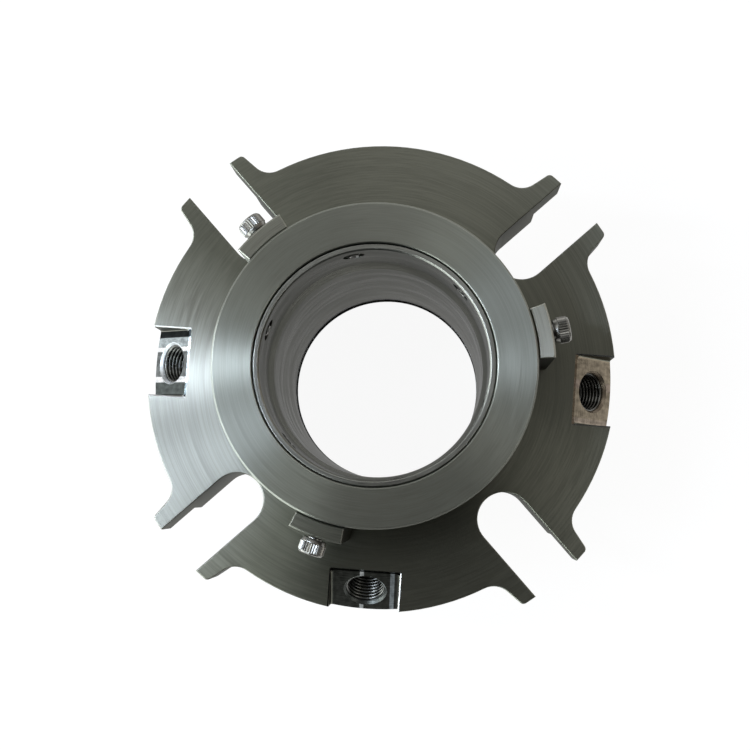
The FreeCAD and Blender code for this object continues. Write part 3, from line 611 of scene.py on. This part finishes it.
def round_tree():
    """Turned and knurled solid from rings of points that the mesh gives, from the foot up."""
    tree, given = new_geometry_tree("turned_outline", {
        "Columns": "Int", "Ridges": "Float", "Material": "Material"})
    points = given["Geometry"]
    rows = add(tree, "GeometryNodeAttributeDomainSize", {"Geometry": points}).outputs["Point Count"]
    around = maths(tree, "ADD", given["Columns"], 1.0)
    sheet = add(tree, "GeometryNodeMeshGrid", {"Vertices X": around, "Vertices Y": rows}).outputs[0]
    index = add(tree, "GeometryNodeInputIndex").outputs[0]
    column = maths(tree, "FLOOR", maths(tree, "DIVIDE", maths(tree, "ADD", index, 0.5), rows))
    row = maths(tree, "SUBTRACT", index, product(tree, column, rows))
    place = add(tree, "GeometryNodeInputPosition").outputs[0]
    ring = add(tree, "GeometryNodeSampleIndex", {"Geometry": points, "Value": place, "Index": row},
               data_type="FLOAT_VECTOR").outputs[0]
    radius, knurl, height = split(tree, ring)
    flats = add(tree, "GeometryNodeInputNamedAttribute", {"Name": "hexagon"}, data_type="FLOAT").outputs[0]
    flats = add(tree, "GeometryNodeSampleIndex", {"Geometry": points, "Value": flats, "Index": row},
                data_type="FLOAT").outputs[0]

    share = maths(tree, "DIVIDE", column, given["Columns"])
    angle = product(tree, share, 2 * pi)
    tooth = maths(tree, "FRACT", maths(tree, "MULTIPLY_ADD", share, given["Ridges"], TOOTH_SHIFT))
    tooth = product(tree, maths(tree, "ABSOLUTE", maths(tree, "SUBTRACT", tooth, 0.5)), 2.0)
    plain = maths(tree, "MULTIPLY_ADD", knurl, tooth, radius)
    turn = maths(tree, "SUBTRACT", maths(tree, "FLOORED_MODULO", angle, pi / 3), pi / 6)
    flat = maths(tree, "DIVIDE", radius, maths(tree, "COSINE", turn))
    reach = ramp(tree, flats, 0.0, 1.0, plain, flat)
    spot = join(tree, product(tree, reach, maths(tree, "COSINE", angle)),
                product(tree, reach, maths(tree, "SINE", angle)), height)
    shape = add(tree, "GeometryNodeSetPosition", {"Geometry": sheet, "Position": spot}).outputs[0]
    shape = add(tree, "GeometryNodeMergeByDistance", {"Geometry": shape, "Distance": SAME_POINT}).outputs[0]
    bend = add(tree, "GeometryNodeInputMeshEdgeAngle").outputs["Unsigned Angle"]
    sharp = add(tree, "FunctionNodeCompare", {0: bend, 1: SHARP_BEND}, operation="GREATER_THAN").outputs[0]
    shape = add(tree, "GeometryNodeSetShadeSmooth", {
        "Geometry": shape, "Selection": sharp, "Shade Smooth": False}, domain="EDGE").outputs[0]
    return close_geometry_tree(tree, shape, given["Material"])


turned_outline = round_tree()


def turned(outline, columns, ridges, material):
    """Mesh of a turned piece from its outline in mm."""
    rings = bpy.data.meshes.new("rings")
    rings.from_pydata([Vector(ring[:3]) * MM for ring in outline], [], [])
    hexagons = rings.attributes.new("hexagon", "FLOAT", "POINT")
    hexagons.data.foreach_set("value", [float(ring[3]) for ring in outline])
    return run_geometry_tree(turned_outline, rings, Columns=columns, Ridges=ridges, Material=material)


def out_from_axis(angle, radius, height):
    """Place at a radius and height, with Z pointing away from the seal's axis."""
    way = Vector((cos(radians(angle)), sin(radians(angle)), 0))
    return along(way * radius + Vector((0, 0, height)), way)


def lifted(place, height):
    """Place moved along its own Z."""
    return place @ Matrix.Translation((0, 0, height))


screw_steel = metal_detail("screw_steel", SCREW_GREY, roughness=0.30)
set_body = turned(SET_OUTLINE, SET_COLUMNS, 1.0, screw_steel)
set_thread = coil(SET_PITCH, SET_LENGTH - SET_FOOT - SET_TOP, *SET_THREAD_R, SCREW_STEPS, screw_steel)
tapped = coil(SET_PITCH, TAPPED_LENGTH, *TAPPED_THREAD_R, SCREW_STEPS, collar_steel)
set_shapes, tapped_shapes = [], []
for angle in SET_ANGLES:
    end = out_from_axis(angle, SET_END_R, SCREW_Z)
    set_shapes += [(set_body, end), (set_thread, lifted(end, SET_FOOT - SET_LENGTH))]
    tapped_shapes.append((tapped, lifted(end, TAPPED_START)))
gather("set_screws", set_shapes, "rotor", replaced="collar_set_screws")
gather("collar_threads", tapped_shapes, "rotor")

# Setting clips
# Three clips that hold the collar at its height over the plate until the seal is fitted. Each is
# milled from a turned ring, so the curved faces keep their tool lines.
CLIP_LINE = 0.22 * MM
# grey of each clip, lighter or darker from clip to clip as painted light and shade, and the share of it on
# its upright walls, as painted shade
CLIPS = [((0.33, 0.332, 0.285), 0.9), ((0.39, 0.39, 0.335), 0.2), ((0.195, 0.2, 0.17), 0.2)]

for number, (grey, side) in enumerate(CLIPS, start=1):
    clip = turned_steel("clip_steel_%d" % number, grey, roughness=0.33, line=CLIP_LINE, contrast=0.25,
                        anisotropy=0.88, edge=1.6, round_off=0.32 * MM, side=side, grazing=0.6)
    finish_nodes(clip["material"], "setting_clip_%d" % number)

# Clip screws
# M5 socket head screws, rolled thread and straight knurl, one for each clip. The head stands a
# little off its clip, as in the photograph, and backs out with it.
CLIP_ANGLES = (135, 15, 255)
HEAD_SEAT_R = 57.9 * MM
CLIP_PITCH = 0.8 * MM
CLIP_THREAD_R = (2.05 * MM, 2.45 * MM)
CLIP_THREAD_START = -13.4 * MM
CLIP_THREAD_LENGTH = 12.4 * MM
CLIP_COLUMNS = 320
KNURL_RIDGES = 32.0
# rings of points as for the set screws, from the thread's end to the bottom of the socket
CLIP_OUTLINE = [
    (0, 0, -14, 0), (1.75, 0, -14, 0), (2.07, 0, -13.6, 0), (2.07, 0, -0.75, 0), (2.45, 0, -0.35, 0),
    (2.45, 0, 0, 0), (3.40, 0, 0, 0), (3.66, 0, 0.1, 0), (3.95, 0, 1.05, 0), (3.95, 0, 1.25, 0),
    (3.95, 0.30, 1.4, 0), (3.95, 0.30, 4.15, 0), (3.98, 0.08, 4.35, 0), (3.98, 0, 4.5, 0),
    (3.90, 0, 4.75, 0), (3.72, 0, 4.9, 0), (3.50, 0, 5, 0), (2.50, 0, 5, 0), (2.33, 0, 4.92, 0),
    (2.0, 0, 4.75, 1), (2.0, 0, 2.6, 1), (0, 0, 2.0, 0)]

clip_body = turned(CLIP_OUTLINE, CLIP_COLUMNS, KNURL_RIDGES, screw_steel)
clip_thread = coil(CLIP_PITCH, CLIP_THREAD_LENGTH, *CLIP_THREAD_R, SCREW_STEPS, screw_steel)
for number, angle in enumerate(CLIP_ANGLES, start=1):
    seat = out_from_axis(angle, HEAD_SEAT_R, SCREW_Z)
    gather("clip_cap_screw_%d" % number, [(clip_body, seat), (clip_thread, lifted(seat, CLIP_THREAD_START))],
           "clip_%d" % number, replaced="clip_screw_%d" % number)

# Studio
# A pale table under a pool of light, a dim room that is darker in front and warmer to the right,
# and the photograph's camera, almost straight above.
TABLE_Z = -0.2 * MM
TABLE_HALF = 30.0        # metres, so that it reaches to the horizon
TABLE_GREY = (0.8, 0.8, 0.8)
TABLE_SHADE = (0.12, 0.12, 0.12)
# pool of light on the table: its middle, the radii between which it fades, and its two strengths
POOL_MIDDLE = (-0.02, 0.08, 0)
POOL_RADII = (0.30, 1.2)
POOL_LEVELS = (0.93, 0.35)
WINDOW_BLUE = (0.74, 0.835, 1)
SKY_BLUE = (0.9, 0.98, 1)
# part of a way toward the back over which the room gets lighter, and its two strengths
ROOM_FRONT_TO_BACK = (-0.14, 0.32)
ROOM_LEVELS = (0.03, 0.44)
ROOM_LEFT_TO_RIGHT = (0.2, 0.9)
ROOM_WARM = (1, 0.90, 0.80)
CAMERA_LENS = 64.38
CAMERA_PLACE = (0.0227994, -0.0384823, 0.5253434)
CAMERA_TURN = (0.08741, 0.04685, 0.07248)


def table():
    """Pale table top. It is white near the part and fades with the pool of light."""
    sheet = bpy.data.meshes.new("table")
    corners = ((-1, -1), (1, -1), (1, 1), (-1, 1))
    sheet.from_pydata([(x * TABLE_HALF, y * TABLE_HALF, TABLE_Z) for x, y in corners], [], [(0, 1, 2, 3)])
    top = bpy.data.objects.new("table", sheet)
    bpy.context.scene.collection.objects.link(top)
    material, tree, shader, place = new_finish("table_paint", 0.9, Base_Color=rgba(TABLE_GREY))
    away = vectors(tree, "LENGTH", vectors(tree, "SUBTRACT", place, POOL_MIDDLE))
    pool = ramp(tree, away, *POOL_RADII, *POOL_LEVELS)
    glow = add(tree, "ShaderNodeEmission", {"Strength": pool}).outputs[0]
    dull = add(tree, "ShaderNodeBsdfDiffuse", {"Color": rgba(TABLE_SHADE)}).outputs[0]
    seen = add(tree, "ShaderNodeAddShader", {0: glow, 1: dull}).outputs[0]
    rays = add(tree, "ShaderNodeLightPath").outputs
    shown = maths(tree, "MAXIMUM", rays["Is Camera Ray"], rays["Is Glossy Ray"])
    shown = maths(tree, "MAXIMUM", shown, rays["Is Transmission Ray"])
    either = add(tree, "ShaderNodeMixShader", {0: shown, 1: shader.outputs[0], 2: seen}).outputs[0]
    tree.links.new(either, tree.nodes["Material Output"].inputs["Surface"])
    sheet.materials.append(material)


def soft_light(name, place, size, power, colour=(1, 1, 1), aim=(0, 0, 0.07)):
    """Rectangular studio light that faces a point of the part."""
    lamp = bpy.data.lights.new(name, "AREA")
    lamp.shape = "RECTANGLE"
    lamp.size, lamp.size_y = size
    lamp.energy = power
    lamp.color = colour
    light = bpy.data.objects.new(name, lamp)
    bpy.context.scene.collection.objects.link(light)
    light.location = place
    light.rotation_euler = (Vector(place) - Vector(aim)).to_track_quat("Z", "Y").to_euler()


table()
soft_light("left_strip", (-0.60, 0.05, 0.72), (0.05, 0.60), 3.0, WINDOW_BLUE)
soft_light("front_left", (-0.48, -0.20, 0.72), (0.20, 0.22), 1.9, WINDOW_BLUE)
soft_light("front_card", (-0.36, -0.46, 0.68), (0.30, 0.24), 1.0, SKY_BLUE)
soft_light("back_left", (-0.55, 0.25, 0.70), (0.26, 0.24), 0.4, SKY_BLUE)
soft_light("left_card", (-0.74, -0.34, 0.20), (1.40, 0.40), 7.5, (0.93, 1, 1))
soft_light("back_light", (-0.35, 0.48, 0.72), (0.26, 0.24), 0.22, (0.95, 1, 1))
soft_light("top_light", (0.05, 0.55, 0.80), (0.5, 0.3), 0.4)
soft_light("right_card", (0.50, -0.20, 0.62), (0.3, 0.3), 0.4, (1, 0.98, 0.94))

world = bpy.data.worlds.new("room")
bpy.context.scene.world = world
world.use_nodes = True
tree = world.node_tree
x, y = split(tree, add(tree, "ShaderNodeTexCoord").outputs["Generated"])[:2]
tint = colour_between(tree, ramp(tree, x, *ROOM_LEFT_TO_RIGHT), (1, 1, 1, 1), rgba(ROOM_WARM))
drive(tree, tree.nodes["Background"], {
    "Color": tint, "Strength": ramp(tree, y, *ROOM_FRONT_TO_BACK, *ROOM_LEVELS)})

camera_data = bpy.data.cameras.new("camera")
camera_data.lens = CAMERA_LENS
camera = bpy.data.objects.new("camera", camera_data)
camera.location = CAMERA_PLACE
camera.rotation_euler = CAMERA_TURN
bpy.context.scene.collection.objects.link(camera)
bpy.context.scene.camera = camera
bpy.context.scene.view_settings.view_transform = "Standard"
